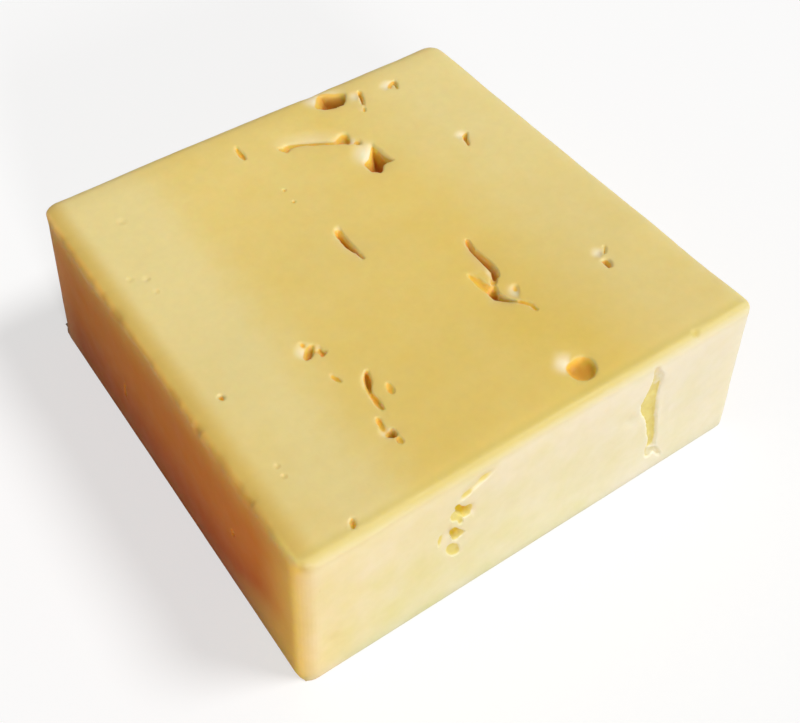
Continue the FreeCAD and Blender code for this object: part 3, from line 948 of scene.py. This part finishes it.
    # Painted shade: the deeper a wall lies, the more saturated and darker its colour
    torn = lay_over(tree, TORN_YELLOW_SHADE, FRONT_TORN_SHADE, (front, 1.5, 4.0, 1.0, 0.0))
    colour = lay_over(tree, colour, torn, (depth, 0.06, 0.3, 0.0, 0.9), torn_strength)
    deep = lay_over(tree, TORN_ORANGE_SHADE, TORN_DEEP_SHADE, (depth, 1.7, 3.2, 0.0, 1.0))
    deep = lay_over(tree, deep, FRONT_DEEP_SHADE, (front, 1.5, 4.0, 1.0, 0.0))
    colour = lay_over(tree, colour, deep, (depth, 0.6, 1.8, 0.0, 1.0))

    # Mottling and fine grain of the paste, and a sheen that varies with the fat on the surface
    shaded = add_node(tree, "ShaderNodeVectorMath",
                      {0: colour, "Scale": clouds(tree, place, *MOTTLE)}, operation="SCALE")
    relief = add_node(tree, "ShaderNodeBump", {"Height": clouds(tree, place, *GRAIN),
                                               "Distance": GRAIN_HEIGHT * MM, "Strength": 0.4})
    sheen = add_node(tree, "ShaderNodeMath", {0: blotches, 1: 0.12, 2: 0.42}, operation="MULTIPLY_ADD")
    # Light soaks in and glows yellow round the lit edges. The torn walls are drier and denser.
    shader = add_node(tree, "ShaderNodeBsdfPrincipled",
                      {"Base Color": shaded.outputs[0], "Roughness": sheen.outputs[0],
                       "IOR": 1.45, "Specular IOR Level": 0.35,
                       "Subsurface Weight": soak_share, "Subsurface Radius": SOAK,
                       "Subsurface Scale": soak_depth, "Normal": relief.outputs[0]},
                      subsurface_method="RANDOM_WALK_SKIN")
    add_node(tree, "ShaderNodeOutputMaterial", {"Surface": shader.outputs[0]})
    return material


def seen_directly(tree):
    """1 for camera and transmission rays, less for glossy ones, and 0 for light on the block."""
    path = add_node(tree, "ShaderNodeLightPath").outputs
    seen = add_node(tree, "ShaderNodeMath", {0: path["Is Glossy Ray"], 1: MIRRORED},
                    operation="MULTIPLY").outputs[0]
    for ray in ("Is Camera Ray", "Is Transmission Ray"):
        seen = add_node(tree, "ShaderNodeMath", {0: seen, 1: path[ray]}, operation="MAXIMUM").outputs[0]
    return seen


def pale_table():
    """A matt white table top. It looks white, keeps the shadow and throws back little light."""
    material = bpy.data.materials.new("matt_white_table")
    material.use_nodes = True
    tree = material.node_tree
    tree.nodes.clear()
    lit = add_node(tree, "ShaderNodeBsdfDiffuse", {"Color": WHITE})
    even = add_node(tree, "ShaderNodeEmission", {"Color": WHITE, "Strength": 1.0})
    shown = add_node(tree, "ShaderNodeMixShader",
                     {0: TABLE_EVENNESS, 1: lit.outputs[0], 2: even.outputs[0]})
    # The light it throws back is warm on the shaded left, and dimmer further back
    place = add_node(tree, "ShaderNodeTexCoord").outputs["Object"]
    axes = add_node(tree, "ShaderNodeSeparateXYZ", {"Vector": place}).outputs
    dimmer, warmer = (add_node(tree, "ShaderNodeMapRange",
                               {"Value": axes[axis], "From Min": start * MM, "From Max": end * MM})
                      for axis, (start, end) in (("Y", WARM_BACK), ("X", WARM_ACROSS)))
    warm = add_node(tree, "ShaderNodeMix",
                    {"Factor": dimmer.outputs[0], BELOW: TABLE_WARM_BOUNCE, ABOVE: TABLE_DIM_BOUNCE},
                    data_type="RGBA")
    colour = add_node(tree, "ShaderNodeMix",
                      {"Factor": warmer.outputs[0], BELOW: TABLE_BOUNCE, ABOVE: warm.outputs[2]},
                      data_type="RGBA")
    thrown = add_node(tree, "ShaderNodeBsdfDiffuse", {"Color": colour.outputs[2]})
    either = add_node(tree, "ShaderNodeMixShader",
                      {0: seen_directly(tree), 1: thrown.outputs[0], 2: shown.outputs[0]})
    add_node(tree, "ShaderNodeOutputMaterial", {"Surface": either.outputs[0]})
    return material


# ---------------------------------------------------------------- stage, light and camera

def looking(azimuth, elevation, roll=0.0):
    """The turn of a camera or lamp that stands at that azimuth and elevation and looks in."""
    return (Matrix.Rotation(math.radians(azimuth), 4, "Z")
            @ Matrix.Rotation(math.radians(90 - elevation), 4, "X")
            @ Matrix.Rotation(math.radians(roll), 4, "Z"))


def add_table():
    """The table top that the block lies on."""
    bm = bmesh.new()
    bmesh.ops.create_circle(bm, cap_ends=True, segments=96, radius=TABLE_RADIUS * MM)
    table = new_piece("table", bm)
    table.data.materials.append(pale_table())


def add_world():
    """A white surround that gives the block only a modest, even light."""
    world = bpy.data.worlds.new("surround")
    bpy.context.scene.world = world
    world.use_nodes = True
    tree = world.node_tree
    tree.nodes.clear()
    light = add_node(tree, "ShaderNodeBackground", {"Color": WORLD_LIGHT, "Strength": WORLD_STRENGTH})
    white = add_node(tree, "ShaderNodeBackground", {"Color": WHITE, "Strength": 1.0})
    either = add_node(tree, "ShaderNodeMixShader",
                      {0: seen_directly(tree), 1: light.outputs[0], 2: white.outputs[0]})
    add_node(tree, "ShaderNodeOutputWorld", {"Surface": either.outputs[0]})


def add_sun(name, strength, azimuth, elevation, softness):
    """A far white lamp with soft-edged light."""
    lamp = bpy.data.lights.new(name, "SUN")
    lamp.energy = strength
    lamp.angle = math.radians(softness)
    holder = bpy.data.objects.new(name, lamp)
    holder.matrix_world = looking(azimuth, elevation)
    bpy.context.scene.collection.objects.link(holder)


def add_camera():
    """The camera, in front of the block, to its left and well above it."""
    data = bpy.data.cameras.new("camera")
    data.lens = LENS
    data.sensor_width = 36.0
    data.clip_start = 0.01
    camera = bpy.data.objects.new("camera", data)
    turn = looking(AZIMUTH, ELEVATION, ROLL)
    position = (AIM + turn.to_3x3() @ Vector((0, 0, DISTANCE))) * MM
    camera.matrix_world = Matrix.Translation(position) @ turn
    bpy.context.scene.collection.objects.link(camera)
    bpy.context.scene.camera = camera


bpy.context.scene.view_settings.view_transform = "Standard"
add_camera()
add_world()
add_table()
add_sun("key", *KEY)
add_sun("top_light", *TOP_LIGHT)

block = gouda()
block.data.materials.clear()
block.data.materials.append(cheese_paste())
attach(block, "root")
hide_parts("gouda_block")
